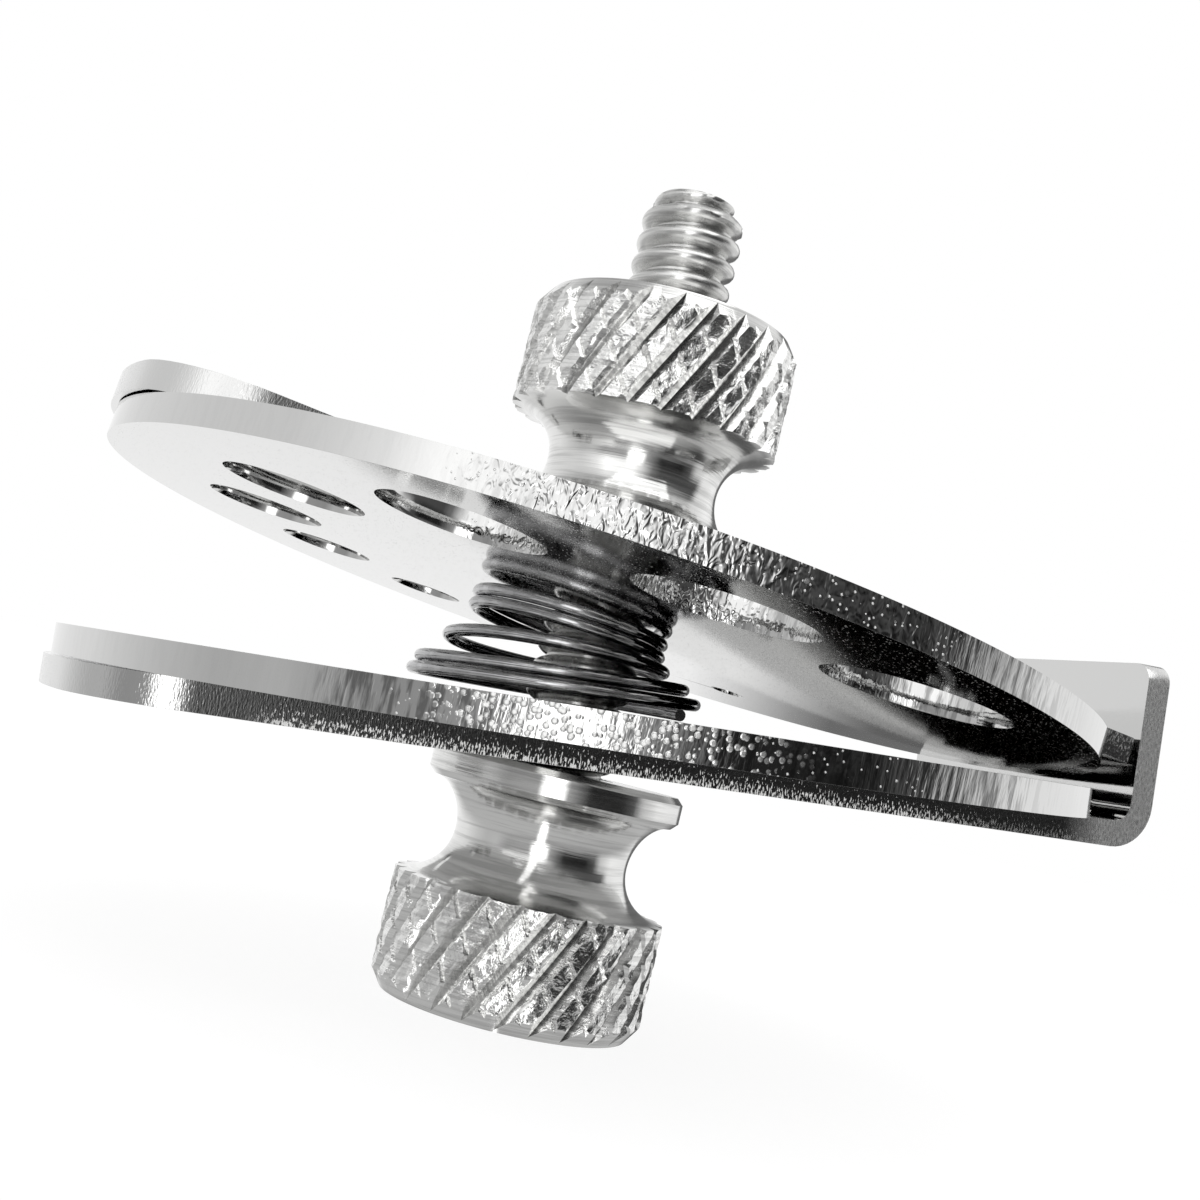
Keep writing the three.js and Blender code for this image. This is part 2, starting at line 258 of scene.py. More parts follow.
def frost_and_glint_marks(nodes, shader, marks, roughness, shade=None):
    """Makes the plate pale and frosted at the marks, partly as painted glints, and bright elsewhere,
    dimmed by the painted shade.
    """
    tone = nodes.add("ShaderNodeMix")
    tone.data_type = "RGBA"
    tone.inputs["A"].default_value = (*plate_color, 1)
    tone.inputs["B"].default_value = (*frost_and_glint_color, 1)
    nodes.wire(marks, tone.inputs["Factor"])
    nodes.wire(tone.outputs["Result"], shader.inputs["Base Color"])
    if shade:
        dimmed = nodes.add("ShaderNodeVectorMath")
        dimmed.operation = "SCALE"
        dimmed.inputs[0].default_value = plate_color
        nodes.wire(shade, dimmed.inputs["Scale"])
        nodes.wire(dimmed.outputs["Vector"], tone.inputs["A"])
    nodes.wire(nodes.level(marks, 0, 1, 1, frost_metal), shader.inputs["Metallic"])
    nodes.wire(nodes.level(marks, 0, 1, roughness, frost_roughness), shader.inputs["Roughness"])


def bright_plate(name, speck_share=0):
    """Nickel plate, mirror bright and faintly uneven: with a thin haze, or pitted with pale specks that
    are partly painted glints.
    """
    material, shader, nodes = new_finish(name)
    place = nodes.object_place()
    if speck_share:
        # The specks are pale frosted dots: real pits, partly painted glints.
        specks = cell_dots(nodes, place, scale=9000, share=speck_share, size=0.36)
        frost_and_glint_marks(nodes, shader, specks, plate_roughness)
    else:
        shader.inputs["Base Color"].default_value = (*plate_color, 1)
        shader.inputs["Metallic"].default_value = 1
        haze = nodes.noise(place, scale=260, detail=4, roughness=0.6)
        gloss = nodes.level(haze, *haze_range, low=plate_roughness, high=plate_roughness * haze_gain)
        nodes.wire(gloss, shader.inputs["Roughness"])
    ripple = nodes.noise(place, scale=420, detail=2, roughness=0.5)
    grain = nodes.noise(place, scale=7500, detail=3, roughness=0.7)
    surface = nodes.bump(grain, cloud_depth * 1.2, under=nodes.bump(ripple, cloud_depth))
    nodes.wire(surface, shader.inputs["Normal"])
    return material


def sheared_edge(name, tilt, middle, burr_spread):
    """The strip's cut edge: smooth where the punch went in, torn into burrs where it came out, paled by
    painted glints, and paler past the bend by painted sheen.
    """
    material, shader, nodes = new_finish(name)
    shift = (0, 0, -middle * math.cos(tilt))
    place = nodes.remap(nodes.object_place(), Rotation=(0, -tilt, 0), Location=shift)
    parts = nodes.parts(place)
    outer_face = math.copysign(plate_thickness / 2, tilt)
    depth = nodes.level(parts["Z"], -outer_face, outer_face, low=-burr_spread, high=break_lift)
    tears = nodes.noise(nodes.remap(place, Scale=(1, 1, 0.3)), scale=15000, detail=2, roughness=0.5)
    burrs = nodes.level(nodes.math("ADD", tears, depth), *burr_level)
    begins = nodes.level(parts["X"], *burr_start)
    fades = nodes.level(parts["X"], *burr_fading, low=1, high=burr_fade)
    burrs = nodes.math("MULTIPLY", burrs, nodes.math("MULTIPLY", begins, fades))
    # Past the bend the edge is paled by rubs that are partly painted sheen.
    rubs_and_sheen = nodes.level(parts["X"], *rub_and_sheen_start, low=0, high=rub_and_sheen_strength)
    marks = nodes.math("MAXIMUM", burrs, nodes.math("MULTIPLY", tears, rubs_and_sheen))
    frost_and_glint_marks(nodes, shader, marks, edge_roughness)
    nodes.wire(nodes.bump(tears, edge_tear_depth), shader.inputs["Normal"])
    return material


def finish_sides(piece, tilt, face, edge, is_face):
    """Gives the plate's broad sides one finish and its cut edges the other."""
    piece.data.materials.append(face)
    piece.data.materials.append(edge)
    level = Matrix.Rotation(-tilt, 3, "Y")
    for polygon in piece.data.polygons:
        normal = level @ polygon.normal
        polygon.material_index = 0 if is_face(normal, level @ polygon.center) else 1


def stand_for(piece, node, body):
    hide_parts(node)
    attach(piece, body)


def is_broad_side(normal, centre):
    """True on the two broad sides of a flat plate."""
    return abs(normal.z) > broad_facing


def is_strip_side(normal, centre):
    """True on the broad sides of the flat part, and on those of the flange and its bend."""
    if centre.x < bend_start:
        return is_broad_side(normal, centre)
    faces_along = abs(normal.x) > bend_facing or normal.z < 0
    return abs(normal.y) < flank_facing and faces_along


plate_face = bright_plate("plate_face")
lower_middle = middle_of("lower_disc").z - plate_thickness / math.cos(jaw_half_angle)
lower_edge = sheared_edge("lower_strip_edge", -jaw_half_angle, lower_middle, burr_spread=0.22)
lower_strip = copy_of_node("lower_strip", "lower_strip_plate")
soften_edges(lower_strip)
finish_sides(lower_strip, -jaw_half_angle, plate_face, lower_edge, is_strip_side)
stand_for(lower_strip, "lower_strip", "lower_strip")


# Lower and upper disc
# Each is blanked from the same plate and turns on the screw. Ten holes of falling size are punched
# in a ring near its rim, so that the one that suits the work can be turned under the drill.
disc_radius = 22.5 * mm
screw_hole_radius = 2.925 * mm
hole_count = 10
largest_hole = 7.9 * mm
hole_step = 0.68 * mm
hole_wall = 3.26 * mm
ring_radius = 15.75 * mm
first_hole = math.radians(-54)
seat_hole = 3
rim_facets = 288
hole_facets = 96
punch_reach = plate_thickness * 3
rim_roughness = 0.06
rim_tear_depth = 0.035 * mm
bead_depth = 0.05 * mm
# The dark streaks in the rim's tears are painted shade.
tear_shade_range = (0.4, 0.52)
tear_shade_tone = 0.3
rim_marks_turn = math.radians(19.4)
bead_zone = ((-4.8, 0), (-3.6, 0.5), (-2.6, 1), (2.8, 1), (4.4, 0.4), (7, 0.2), (8, 0))
speck_zone = ((-6, 0), (-2, 1), (8, 1), (11, 0.7), (12, 0))
peel_zone = ((-6, 0.02), (-4.6, 0.4), (-2.8, 1), (4, 1), (6, 0.5), (11, 0.3), (13, 0))
lower_torn_zone = (
    (-8.5, 0.03), (-7.3, 0.8), (-3, 0.8), (0, 0.4), (6, 0.5),
    (11, 0.7), (12, 1), (15, 0.8), (16.5, 0.2), (18, 0.03),
)
upper_torn_zone = (
    (-6, 0.03), (-4, 0.25), (0, 0.25), (6, 0.4), (11, 0.6),
    (12, 1), (15, 0.7), (17, 0.2), (18.5, 0.03),
)


def hole_ring():
    """The angle and radius of each work hole, the walls between them all as wide."""
    along = 0
    for index in range(hole_count):
        diameter = largest_hole - hole_step * index
        yield first_hole - along / ring_radius, diameter / 2
        along += diameter - hole_step / 2 + hole_wall


def cut_out(piece, cutter):
    """Takes the cutter's shape out of a piece, and the cutter out of the scene."""
    boolean = piece.modifiers.new("cut", "BOOLEAN")
    boolean.operation = "DIFFERENCE"
    boolean.solver = "EXACT"
    boolean.object = cutter
    apply_modifiers(piece)
    bpy.data.objects.remove(cutter, do_unlink=True)


def rod(radius, depth, place, facets):
    select_none()
    bpy.ops.mesh.primitive_cylinder_add(vertices=facets, radius=radius, depth=depth, location=place)
    bpy.ops.object.transform_apply(location=True, rotation=True, scale=True)
    return bpy.context.object


def settle(piece):
    """Puts the piece's place and turn into its mesh."""
    take(piece)
    bpy.ops.object.transform_apply(location=True, rotation=True, scale=True)


def rim_zone(nodes, along, stops):
    """A level that changes along the rim, from a list of places in mm and the level at each."""
    reach = disc_radius / mm
    greys = [((at + reach) / (2 * reach), (tone, tone, tone)) for at, tone in stops]
    return nodes.tones(nodes.level(along, -disc_radius, disc_radius), greys)


def tear_shade_streaks(nodes, lines, share):
    """Dark upright lines along the tears, as strong as the share says: painted shade."""
    mix = nodes.add("ShaderNodeMix")
    mix.inputs["A"].default_value = 1
    nodes.wire(share, mix.inputs["Factor"])
    nodes.wire(nodes.level(lines, *tear_shade_range, low=tear_shade_tone, high=1), mix.inputs["B"])
    return mix.outputs["Result"]


def punched_rim(name, bead_share, speck_share, peel_depth, torn_zone):
    """The disc's rim as the punch leaves it: clean at two sides, beaded, pitted and torn between."""
    material, shader, nodes = new_finish(name)
    place = nodes.object_place()
    along = nodes.parts(nodes.remap(place, Rotation=(0, 0, rim_marks_turn)))["X"]
    dots = cell_dots(nodes, place, scale=4200, share=bead_share, size=0.52)
    specks = cell_dots(nodes, place, scale=7000, share=speck_share, size=0.34)
    dots = nodes.math("MULTIPLY", dots, rim_zone(nodes, along, bead_zone))
    specks = nodes.math("MULTIPLY", specks, rim_zone(nodes, along, speck_zone))
    beads = nodes.math("MAXIMUM", dots, specks)
    tears = nodes.noise(nodes.remap(place, Scale=(1, 1, 0.16)), scale=3800, detail=3, roughness=0.55)
    waves = nodes.remap(place, Scale=(1, 1, 0.6))
    peel = nodes.noise(waves, scale=3400, detail=1, roughness=0.5, distortion=0.8)
    torn = rim_zone(nodes, along, torn_zone)
    # The beads and specks are pale frosted marks, partly painted glints; the torn part is darkened by
    # painted shade.
    frost_and_glint_marks(nodes, shader, beads, rim_roughness, shade=tear_shade_streaks(nodes, tears, torn))
    surface = nodes.bump(tears, rim_tear_depth, strength=torn)
    surface = nodes.bump(peel, peel_depth, under=surface, strength=rim_zone(nodes, along, peel_zone))
    nodes.wire(nodes.bump(beads, bead_depth, under=surface), shader.inputs["Normal"])
    return material


def hole_disc(name, face, rim, flipped):
    """A disc with its ring of holes. Flipped, the ring runs the other way from the seat hole."""
    disc = rod(disc_radius, plate_thickness, (0, 0, 0), rim_facets)
    disc.name = name
    holes = list(hole_ring())
    seat_angle = holes[seat_hole][0]
    cut_out(disc, rod(screw_hole_radius, punch_reach, (0, 0, 0), hole_facets))
    for angle, radius in holes:
        turned = 2 * seat_angle - angle if flipped else angle
        place = (ring_radius * math.cos(turned), ring_radius * math.sin(turned), 0)
        cut_out(disc, rod(radius, punch_reach, place, hole_facets))
    soften_edges(disc)
    finish_sides(disc, 0, face, rim, is_broad_side)
    return disc


def top_of(disc_node):
    """The height at which the screw's axis meets the top face of a disc."""
    return middle_of(disc_node).z + plate_thickness / 2 / math.cos(jaw_half_angle)


def set_disc(disc, node, tilt):
    disc.matrix_world = Matrix.Translation(middle_of(node)) @ Matrix.Rotation(tilt, 4, "Y")
    settle(disc)
    stand_for(disc, node, node)


lower_rim = punched_rim(
    "lower_rim", bead_share=0.75, speck_share=0.15, peel_depth=0.012 * mm, torn_zone=lower_torn_zone,
)
lower_disc = hole_disc("lower_hole_disc", plate_face, lower_rim, flipped=True)
set_disc(lower_disc, "lower_disc", -jaw_half_angle)
upper_rim = punched_rim(
    "upper_rim", bead_share=0.06, speck_share=0.25, peel_depth=0.09 * mm, torn_zone=upper_torn_zone,
)
pitted_face = bright_plate("speckled_face", speck_share=0.25)
upper_disc = hole_disc("upper_hole_disc", pitted_face, upper_rim, flipped=False)
set_disc(upper_disc, "upper_disc", jaw_half_angle)


# Upper strip
# The same plate, cut flat: its far end is narrowed to a tongue that rocks in the flange's slot.
# The screw passes through a hole in it, and the thumb nut presses it down against the spring.
upper_strip = copy_of_node("upper_strip", "upper_strip_plate")
soften_edges(upper_strip)
upper_middle = middle_of("upper_disc").z + plate_thickness / math.cos(jaw_half_angle)
upper_edge = sheared_edge("upper_strip_edge", jaw_half_angle, upper_middle, burr_spread=0.06)
finish_sides(upper_strip, jaw_half_angle, plate_face, upper_edge, is_broad_side)
stand_for(upper_strip, "upper_strip", "upper_strip")


# Screw
# A rod of bright steel, threaded from end to end, with a rounded tip.
# The lower knob is pressed on its lower end, and the thumb nut runs on the rest.
thread_pitch = 25.4 / 24 * mm
screw_radius = 2.375 * mm
thread_depth = 0.52 * mm
thread_steps = 72
tip_height = 0.95 * mm
tip_steps = 8
tip_squeeze = 0.968
tip_curve = 1.5
ring_stretch = (0.03, 0.03, 1)
ring_range = (0.36, 0.56)
groove_shade = 0.74
scuff_range = (0.3, 0.75)
scuff_gain = 1.6
run_in_turns = 1.47
spare_turns = 3
crest_turn = math.radians(45)
fine_weld = 0.001 * mm
screw_low, screw_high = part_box("screw")


def profile_line(points):
    """A line of vertices in the XZ plane, drawn by extruding one vertex from point to point."""
    select_none()
    bpy.ops.mesh.primitive_plane_add(size=mm)
    piece = bpy.context.object
    bpy.ops.object.mode_set(mode="EDIT")
    bpy.ops.mesh.select_all(action="SELECT")
    bpy.ops.mesh.merge(type="CENTER")
    start = Vector(points[0])
    bpy.ops.transform.translate(value=start)
    for point in points[1:]:
        step = Vector(point) - start
        bpy.ops.mesh.extrude_vertices_move(TRANSFORM_OT_translate={"value": step})
        start = Vector(point)
    bpy.ops.object.mode_set(mode="OBJECT")
    return piece


def thread_profile():
    """One turn of the thread: a narrow root, and a crest as round as a bead."""
    shares = (
        (0, 1), (0.05, 1), (0.16, 0.5), (0.28, 0.17), (0.4, 0.03), (0.5, 0),
        (0.6, 0.03), (0.72, 0.17), (0.84, 0.5), (0.95, 1), (1, 1),
    )
    return [(screw_radius - thread_depth * depth, 0, thread_pitch * rise) for rise, depth in shares]


def select_points(piece, is_chosen):
    """Selects the points that the test says yes to, by their number and place."""
    bpy.ops.object.mode_set(mode="EDIT")
    bpy.ops.mesh.select_mode(type="VERT")
    bpy.ops.mesh.select_all(action="DESELECT")
    bpy.ops.object.mode_set(mode="OBJECT")
    for vertex in piece.data.vertices:
        vertex.select = is_chosen(vertex.index, vertex.co)
    bpy.ops.object.mode_set(mode="EDIT")


def draw_in(scale):
    """Moves the selected points towards the upright axis, each at its own height."""
    bpy.ops.transform.resize(value=(scale, scale, 1), center_override=(0, 0, 0))


def threaded_rod(name, low, high):
    thread = profile_line(thread_profile())
    thread.name = name
    winding = thread.modifiers.new("thread", "SCREW")
    winding.screw_offset = thread_pitch
    winding.iterations = math.ceil((high - low) / thread_pitch) + spare_turns
    winding.steps = thread_steps
    winding.render_steps = thread_steps
    apply_modifiers(thread)
    thread.location.z = low - run_in_turns * thread_pitch
    settle(thread)
    bpy.ops.object.mode_set(mode="EDIT")
    bpy.ops.mesh.select_all(action="SELECT")
    bpy.ops.mesh.remove_doubles(threshold=fine_weld)
    bpy.ops.mesh.select_all(action="SELECT")
    bpy.ops.mesh.bisect(plane_co=(0, 0, low), plane_no=(0, 0, 1), threshold=fine_weld, clear_inner=True)
    bpy.ops.mesh.select_all(action="SELECT")
    bpy.ops.mesh.bisect(plane_co=(0, 0, high), plane_no=(0, 0, 1), threshold=fine_weld, clear_outer=True)
    bpy.ops.mesh.select_all(action="SELECT")
    bpy.ops.mesh.fill_holes(sides=0)
    bpy.ops.mesh.select_all(action="SELECT")
    bpy.ops.mesh.normals_make_consistent(inside=False)
    for step in range(tip_steps):
        shoulder = high - tip_height * (1 - step / tip_steps) ** tip_curve
        select_points(thread, lambda index, place: place.z > shoulder)
        draw_in(tip_squeeze)
    bpy.ops.object.mode_set(mode="OBJECT")
    bpy.ops.object.shade_smooth_by_angle(angle=crest_turn)
    return thread


def turned_steel(name, color, roughness, ring_scale, ring_depth, scuff_scale, scuff_depth):
    """Lathe-turned metal: fine rings round the axis, which draw every reflection out upwards."""
    material, shader, nodes = new_finish(name)
    shader.inputs["Metallic"].default_value = 1
    shader.inputs["Anisotropic"].default_value = 0.8
    shader.inputs["Anisotropic Rotation"].default_value = 0.25
    around = nodes.add("ShaderNodeTangent")
    around.direction_type = "RADIAL"
    around.axis = "Z"
    nodes.wire(around.outputs["Tangent"], shader.inputs["Tangent"])
    place = nodes.object_place()
    rings = nodes.noise(nodes.remap(place, Scale=ring_stretch), ring_scale, detail=3, roughness=0.6)
    scuffs = nodes.noise(place, scuff_scale, detail=3, roughness=0.6)
    # The base colour is darker in the ring grooves: painted shade.
    groove_shade_color = [part * groove_shade for part in color]
    ring_tones = nodes.tones(rings, ((ring_range[0], groove_shade_color), (ring_range[1], color)))
    gloss = nodes.level(scuffs, *scuff_range, low=roughness, high=roughness * scuff_gain)
    nodes.wire(ring_tones, shader.inputs["Base Color"])
    nodes.wire(gloss, shader.inputs["Roughness"])
    surface = nodes.bump(scuffs, scuff_depth, under=nodes.bump(rings, ring_depth))
    nodes.wire(surface, shader.inputs["Normal"])
    return material


thread_steel = turned_steel(
    "thread_steel", (0.7, 0.7, 0.69), roughness=0.2,
    ring_scale=9000, ring_depth=0.004 * mm, scuff_scale=900, scuff_depth=0.006 * mm,
)
screw = threaded_rod("threaded_screw", screw_low[2], screw_high[2])
screw.data.materials.append(thread_steel)
stand_for(screw, "screw", "screw")


# Lower knob and thumb nut
# Both are turned from one bar: a band with a crossed slanting knurl, a hollow waist that lets the
# fingers in, and a collar that bears on the strip. The lower knob is fixed to the screw.
knurl_radius = 6.15 * mm
knurl_height = 5.23 * mm
knurl_chamfer = 0.58 * mm
knurl_chamfer_height = 0.85 * mm
groove_count = 25
groove_depth = 0.45 * mm
cross_depth = 0.17 * mm
waist_height = 4.33 * mm
waist_radius = 3.95 * mm
collar_radius = 5.74 * mm
collar_height = 1.41 * mm
collar_chamfer = 0.28 * mm
bore_radius = 2.465 * mm
knob_height = knurl_height + waist_height + collar_height
turning_steps = 192
waist_points = 28
knurl_steps = 24
crumb_depth = 0.045 * mm
crumb_share = 0.4
crumb_rounds = 2
crumb_reach = 1.5
crumb_skin = 3
crumb_seed = 7
points_per_groove = 8
blank_allowance = 0.06 * mm
bar_overrun = 0.1 * mm
sleeve_overrun = 0.05 * mm
sleeve_wall = 1 * mm
sleeve_facets = 96
main_slant = math.tan(math.radians(30))
cross_slant = -main_slant
wide_groove = ((1, (0,)), (0.5, (1, 7)))
narrow_groove = ((1, (0,)), (0.42, (1, 7)))
land_turn = math.radians(28)


def knob_outline():
    """The turned outline, from the bore at the knurled end to the bore at the collar."""
    waist_top = knurl_height + waist_height
    band = knurl_radius + blank_allowance
    points = [(bore_radius, 0), (band - knurl_chamfer, 0), (band, knurl_chamfer_height)]
    for step in range(waist_points + 1):
        share = step / waist_points
        rim = band + (collar_radius - collar_chamfer - band) * share
        height = knurl_height + waist_height * (1 - math.cos(math.pi * share)) / 2
        points.append((rim - (rim - waist_radius) * math.sin(math.pi * share), height))
    points += [
        (collar_radius, waist_top + collar_chamfer),
        (collar_radius, knob_height - collar_chamfer),
        (collar_radius - collar_chamfer, knob_height),
        (bore_radius, knob_height),
    ]
    return [(radius, 0, height) for radius, height in points]


def turned_blank(name, outline):
    piece = profile_line(outline + outline[:1])
    piece.name = name
    take(piece)
    bpy.ops.object.mode_set(mode="EDIT")
    bpy.ops.mesh.select_all(action="SELECT")
    bpy.ops.mesh.spin(steps=turning_steps, angle=2 * math.pi, center=(0, 0, 0), axis=(0, 0, 1))
    bpy.ops.mesh.select_all(action="SELECT")
    bpy.ops.mesh.remove_doubles(threshold=fine_weld)
    bpy.ops.mesh.normals_make_consistent(inside=False)
    bpy.ops.object.mode_set(mode="OBJECT")
    return piece


def crumble(bar, land_radius):
    """Pushes scattered points of the lands in, as the rolled metal crumbles between the grooves."""
    chance = random.Random(crumb_seed)
    outside = land_radius - crumb_reach * crumb_depth

    def crumbles(index, place):
        return place.xy.length > outside and chance.random() < crumb_share

    for _ in range(crumb_rounds):
        select_points(bar, crumbles)
        draw_in(1 - crumb_depth / land_radius)


def fluted_bar(land_radius, depth, slant, section, crumbled):
    """A bar with slanting flutes all round it, a little longer than the knurled band."""
    select_none()
    bpy.ops.mesh.primitive_circle_add(
        vertices=groove_count * points_per_groove, radius=land_radius,
        fill_type="NGON", location=(0, 0, -bar_overrun),
    )
    bar = bpy.context.object
    bpy.ops.object.transform_apply(location=True)
    for share, reach in section:
        select_points(bar, lambda index, place: index % points_per_groove in reach)
        draw_in(1 - depth * share / land_radius)
    bpy.ops.mesh.select_all(action="SELECT")
    rise = (knurl_height + 2 * bar_overrun) / knurl_steps
    turn = -slant * rise / knurl_radius
    for _ in range(knurl_steps):
        bpy.ops.mesh.extrude_region_move(TRANSFORM_OT_translate={"value": (0, 0, rise)})
        bpy.ops.transform.rotate(value=turn, orient_axis="Z", center_override=(0, 0, 0))
    if crumbled:
        crumble(bar, land_radius)
    bpy.ops.mesh.select_all(action="SELECT")
    bpy.ops.mesh.normals_make_consistent(inside=False)
    bpy.ops.object.mode_set(mode="OBJECT")
    return bar


def knurling_tool(land_radius, depth, slant, section, crumbled):
    """What the knurl takes away: a thick sleeve round the band, less the fluted bar."""
    length = knurl_height + sleeve_overrun * 2
    sleeve = rod(knurl_radius + sleeve_wall, length, (0, 0, knurl_height / 2), sleeve_facets)
    cut_out(sleeve, fluted_bar(land_radius, depth, slant, section, crumbled))
    return sleeve


def knurled_knob(name):
    knob = turned_blank(name, knob_outline())
    cut_out(knob, knurling_tool(knurl_radius, groove_depth, main_slant, wide_groove, crumbled=True))
    cross_land = knurl_radius + blank_allowance * 2
    cross_reach = cross_depth + blank_allowance * 2
    cut_out(knob, knurling_tool(cross_land, cross_reach, cross_slant, narrow_groove, crumbled=False))
    take(knob)
    bpy.ops.object.shade_smooth_by_angle(angle=land_turn)
    return knob


def finish_knob(knob, turned, rolled):
    """The lands of the knurl keep the crumbled skin that the rolls leave; the rest is turned."""
    knob.data.materials.append(turned)
    knob.data.materials.append(rolled)
    land_floor = knurl_radius - crumb_depth * crumb_skin
    for polygon in knob.data.polygons:
        on_band = 0 < polygon.center.z < knurl_height
        polygon.material_index = 1 if on_band and polygon.center.xy.length > land_floor else 0


knob_steel = turned_steel(
    "knob_steel", (0.78, 0.78, 0.77), roughness=0.1,
    ring_scale=5200, ring_depth=0.012 * mm, scuff_scale=700, scuff_depth=0.006 * mm,
)
rolled_steel = turned_steel(
    "rolled_steel", (0.84, 0.84, 0.83), roughness=0.1,
    ring_scale=6000, ring_depth=0.003 * mm, scuff_scale=3000, scuff_depth=0.06 * mm,
)
lower_knob = knurled_knob("knurled_lower_knob")
finish_knob(lower_knob, knob_steel, rolled_steel)
thumb_nut = lower_knob.copy()
thumb_nut.data = lower_knob.data.copy()
thumb_nut.name = "knurled_thumb_nut"
bpy.context.scene.collection.objects.link(thumb_nut)
nut_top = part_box("thumb_nut")[1][2]
thumb_nut.matrix_world = Matrix.Translation((0, 0, nut_top)) @ Matrix.Rotation(math.pi, 4, "X")
settle(thumb_nut)
stand_for(lower_knob, "lower_knob", "screw")
stand_for(thumb_nut, "thumb_nut", "thumb_nut")


# Spring
# A conical compression spring of black wire, wound cold: two closed coils lie on the lower disc,
# one open coil climbs, and two closed ones press under the upper disc. It keeps the jaws apart.
wire_radius = 0.28 * mm
wide_coil = 6.35 * mm
narrow_coil = 4.3 * mm
wire_roundness = 5
coil_count = 5
coil_pitch = 0.575 * mm
seat_gap = 0.02 * mm
spring_shift = 1.25 * mm
still_turns = 0.5
overlap = 1
points_per_coil = 48
rising_turns = (1.9, 3.3)
narrowing_turns = (0.9, 3.7)
wire_tones = ((0.45, (0.4, 0.4, 0.405)), (0.85, (0.7, 0.7, 0.71)))
wear_range = (0.3, 0.8)
wire_roughness = (0.05, 0.12)
wire_wear_depth = 0.003 * mm
spring_seat = top_of("lower_disc")
spring_roof = 2 * middle_of("upper_disc").z - top_of("upper_disc")


def smooth_share(value, start, end):
    share = min(max((value - start) / (end - start), 0), 1)
    return share * share * (3 - 2 * share)


def spring_point(turn):
    """A point on the wire: it lies on the lower disc, climbs, then lies against the upper disc."""
    radius = wide_coil + (narrow_coil - wide_coil) * smooth_share(turn, *narrowing_turns)
    angle = 2 * math.pi * turn
    x = radius * math.cos(angle) - spring_shift
    on_lower = spring_seat + x * math.tan(jaw_half_angle) + wire_radius + seat_gap + coil_pitch * turn
    under_upper = spring_roof - x * math.tan(jaw_half_angle) - wire_radius - seat_gap
    under_upper -= coil_pitch * (coil_count - turn)
    climb = smooth_share(turn, *rising_turns)
    return Vector((x, radius * math.sin(angle), on_lower + (under_upper - on_lower) * climb))


def wound_wire(name, first, last):
    """A tube along the wire, from one of its points to another."""
    line = bpy.data.curves.new(name, "CURVE")
    line.dimensions = "3D"
    line.bevel_depth = wire_radius
    line.bevel_resolution = wire_roundness
    line.use_fill_caps = True
    spline = line.splines.new("POLY")
    spline.points.add(last - first)
    for spot, index in zip(spline.points, range(first, last + 1), strict=True):
        spot.co = (*spring_point(index / points_per_coil), 1)
    piece = bpy.data.objects.new(name, line)
    bpy.context.scene.collection.objects.link(piece)
    take(piece)
    bpy.ops.object.convert(target="MESH")
    bpy.ops.object.shade_smooth_by_angle(angle=sharp_edge)
    return bpy.context.object


def black_wire(name):
    """Oil-blackened spring wire: glossy, and lighter in the spots where it is worn."""
    material, shader, nodes = new_finish(name)
    shader.inputs["Metallic"].default_value = 1
    wear = nodes.noise(nodes.object_place(), scale=900, detail=5, roughness=0.65)
    nodes.wire(nodes.tones(wear, wire_tones), shader.inputs["Base Color"])
    nodes.wire(nodes.level(wear, *wear_range, *wire_roughness), shader.inputs["Roughness"])
    nodes.wire(nodes.bump(wear, wire_wear_depth), shader.inputs["Normal"])
    return material


def half_coil(number, wire_steel):
    """Half a turn of the wire. A piece that starts within the still turns at the bottom goes with the
    lower strip, one that ends within those at the top with the upper strip; the others stay where they
    are.
    """
    half = points_per_coil // 2
    first, last = number * half, (number + 1) * half
    low, high = max(first - overlap, 0), min(last + overlap, coil_count * points_per_coil)
    piece = wound_wire(f"conical_spring_{number}", low, high)
    piece.data.materials.append(wire_steel)
    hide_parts("spring")
    turns = (first / points_per_coil, last / points_per_coil)
    shares = [(turn - still_turns) / (coil_count - 2 * still_turns) for turn in turns]
    if shares[0] < 0 or shares[1] > 1:
        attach(piece, "lower_strip" if shares[0] < 0 else "upper_strip")
        return
    sides = [spring_point(turn).x for turn in turns]
    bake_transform(piece)


spring_steel = black_wire("spring_wire")
for number in range(2 * coil_count):
    half_coil(number, spring_steel)


# Floor and light
# A white floor, one large soft lamp above and in front, and a pale room with a dark side. The dark
# side lies to the right of the lens, and it gives the plate, the edges and the knobs their black.
floor_reach = 2.0
floor_drop = 0.02 * mm
floor_color = (0.9, 0.9, 0.9)
floor_roughness = 0.9
floor_glow = 1.1
glow_share = 0.8
room_brightness = 2.4
ground_room = ((-180, 0.22), (-9, 0.22), (-6, 1), (2, 1), (5, 0.22), (180, 0.22))
low_room = (
    (-180, 0.41), (-143, 0.4), (-120, 0.38), (-94, 0.28), (-77, 0.227), (-60, 0.24), (-44, 0.147),
    (-14, 0.16), (-8, 1), (6, 1), (12, 0.167), (23, 0.067), (32, 0.009), (62, 0.005), (76, 0.04),
    (86, 0.28), (106, 0.44), (150, 0.387), (155, 0.067), (172, 0.067), (177, 0.41), (180, 0.41),
)
high_room = (
    (-180, 0.453), (-131, 0.367), (-98, 0.333), (-75, 0.333), (-63, 0.373), (-51, 0.44), (-38, 0.6),
    (-14, 0.533), (-1, 0.567), (11, 0.333), (24, 0.087), (36, 0.033), (94, 0.04), (105, 0.373),
    (137, 0.467), (150, 0.4), (155, 0.067), (172, 0.067), (177, 0.453), (180, 0.453),
)
ceiling = ((-180, 0.32), (-90, 0.19), (0, 0.24), (90, 0.34), (180, 0.32))
high_walls = (0.02, 0.2)
roof_above = (0.5, 0.8)
ground_below = (-0.2, -0.4)
lamp_place = Vector((-0.01, -0.16, 0.33))
lamp_target = Vector((0, 0, 0.015))
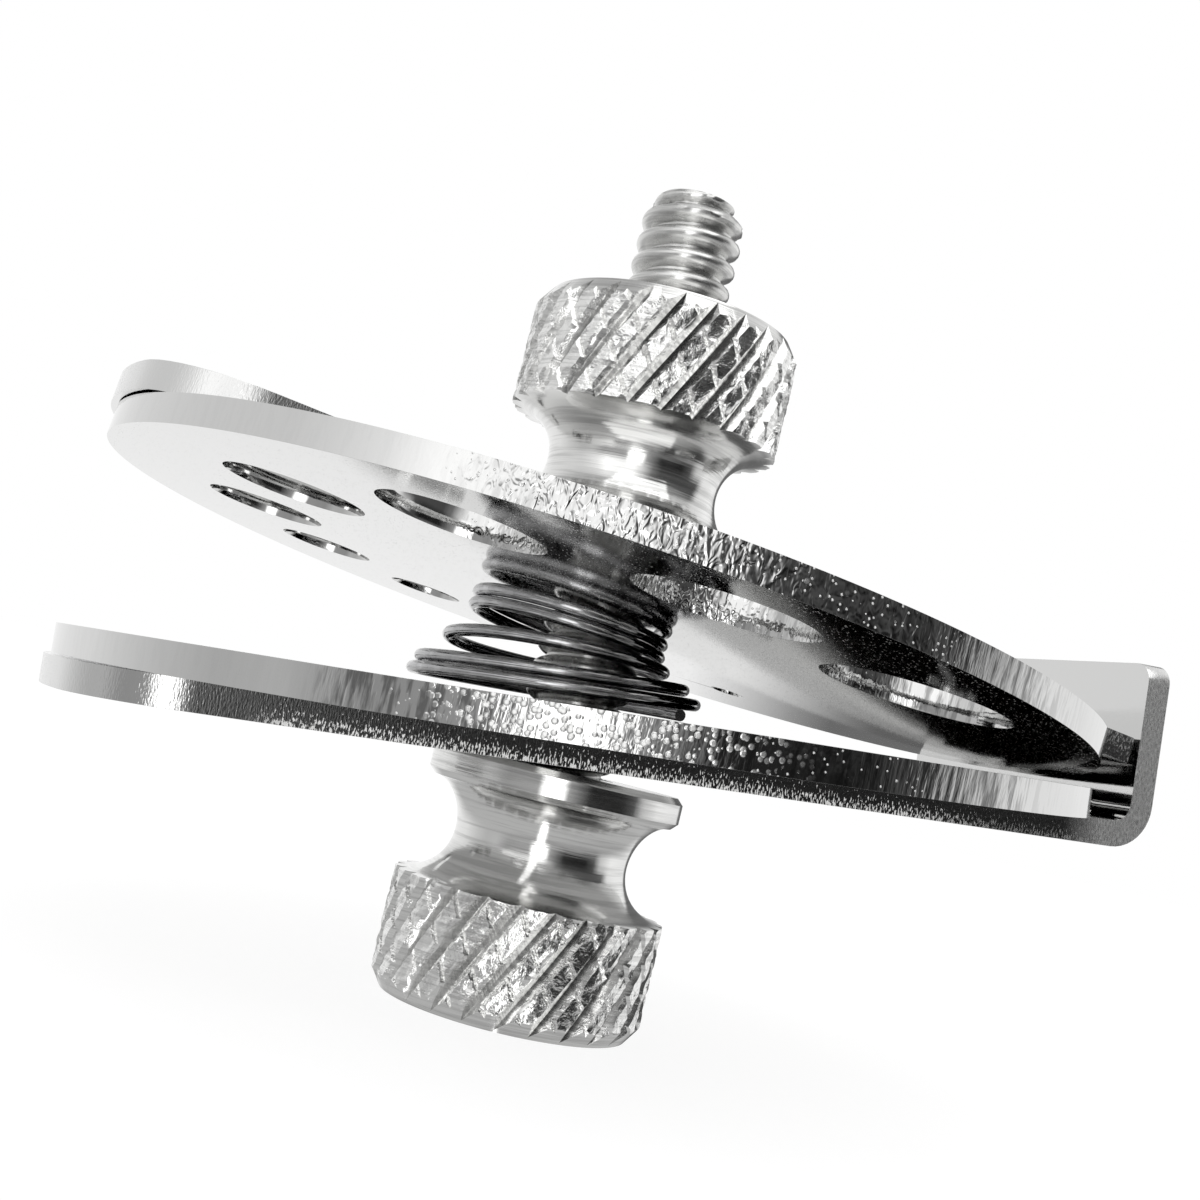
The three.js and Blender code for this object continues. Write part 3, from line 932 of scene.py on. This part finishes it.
lamp_width = 0.4
lamp_depth = 0.34
lamp_power = 0.45


def wall_tones(room, around, tones):
    """Grey tones round the room, by the angle in degrees from the side that the lens stands on."""
    return room.tones(around, [(0.5 + angle / 360, (tone, tone, tone)) for angle, tone in tones])


def blend(room, share, under, over):
    """Mixes two colours by a share; the second may be a plain grey tone."""
    mix = room.add("ShaderNodeMix")
    mix.data_type = "RGBA"
    room.wire(share, mix.inputs["Factor"])
    room.wire(under, mix.inputs["A"])
    if isinstance(over, float):
        mix.inputs["B"].default_value = (over, over, over, 1)
    else:
        room.wire(over, mix.inputs["B"])
    return mix.outputs["Result"]


def white_floor():
    """A floor that glows, so that it stays white, and that the metal doesn't mirror."""
    bpy.ops.mesh.primitive_plane_add(size=floor_reach * 2, location=(0, 0, -floor_drop))
    floor = bpy.context.object
    floor.name = "floor"
    paint, shader, nodes = new_finish("floor_paint")
    shader.inputs["Base Color"].default_value = (*floor_color, 1)
    shader.inputs["Roughness"].default_value = floor_roughness
    rays = nodes.add("ShaderNodeLightPath")
    glow = nodes.add("ShaderNodeEmission", Strength=floor_glow)
    lit = nodes.add("ShaderNodeMixShader", Fac=glow_share)
    gone = nodes.add("ShaderNodeBsdfTransparent")
    seen = nodes.add("ShaderNodeMixShader")
    nodes.wire(shader.outputs["BSDF"], lit.inputs[1])
    nodes.wire(glow.outputs["Emission"], lit.inputs[2])
    nodes.wire(rays.outputs["Is Glossy Ray"], seen.inputs["Fac"])
    nodes.wire(lit.outputs["Shader"], seen.inputs[1])
    nodes.wire(gone.outputs["BSDF"], seen.inputs[2])
    nodes.wire(seen.outputs["Shader"], nodes.tree.nodes["Material Output"].inputs["Surface"])
    floor.data.materials.append(paint)


def pale_room():
    """The room: tones round the walls at two heights, the roof, and the ground under the floor."""
    world = bpy.data.worlds.new("room")
    bpy.context.scene.world = world
    world.use_nodes = True
    room = Nodes(world.node_tree)
    toward = room.add("ShaderNodeTexCoord").outputs["Generated"]
    lens_turn = -math.atan2(camera_offset.y, camera_offset.x)
    gradient = room.add("ShaderNodeTexGradient")
    gradient.gradient_type = "RADIAL"
    room.wire(room.remap(toward, Rotation=(0, 0, lens_turn)), gradient.inputs["Vector"])
    around = gradient.outputs["Fac"]
    upward = room.parts(toward)["Z"]
    seen = room.add("ShaderNodeLightPath").outputs["Is Camera Ray"]
    tones = wall_tones(room, around, low_room)
    for heights, higher in ((high_walls, high_room), (roof_above, ceiling), (ground_below, ground_room)):
        tones = blend(room, room.level(upward, *heights), tones, wall_tones(room, around, higher))
    tones = blend(room, seen, tones, 1 / room_brightness)
    background = world.node_tree.nodes["Background"]
    room.wire(tones, background.inputs["Color"])
    background.inputs["Strength"].default_value = room_brightness


def soft_lamp(name):
    lamp = bpy.data.lights.new(name, "AREA")
    lamp.shape = "RECTANGLE"
    lamp.size = lamp_width
    lamp.size_y = lamp_depth
    lamp.energy = lamp_power
    light = bpy.data.objects.new(name, lamp)
    bpy.context.scene.collection.objects.link(light)
    light.location = lamp_place
    light.rotation_euler = (lamp_target - lamp_place).to_track_quat("-Z", "Y").to_euler()


white_floor()
pale_room()
soft_lamp("overhead")
bpy.context.scene.view_settings.view_transform = "Standard"
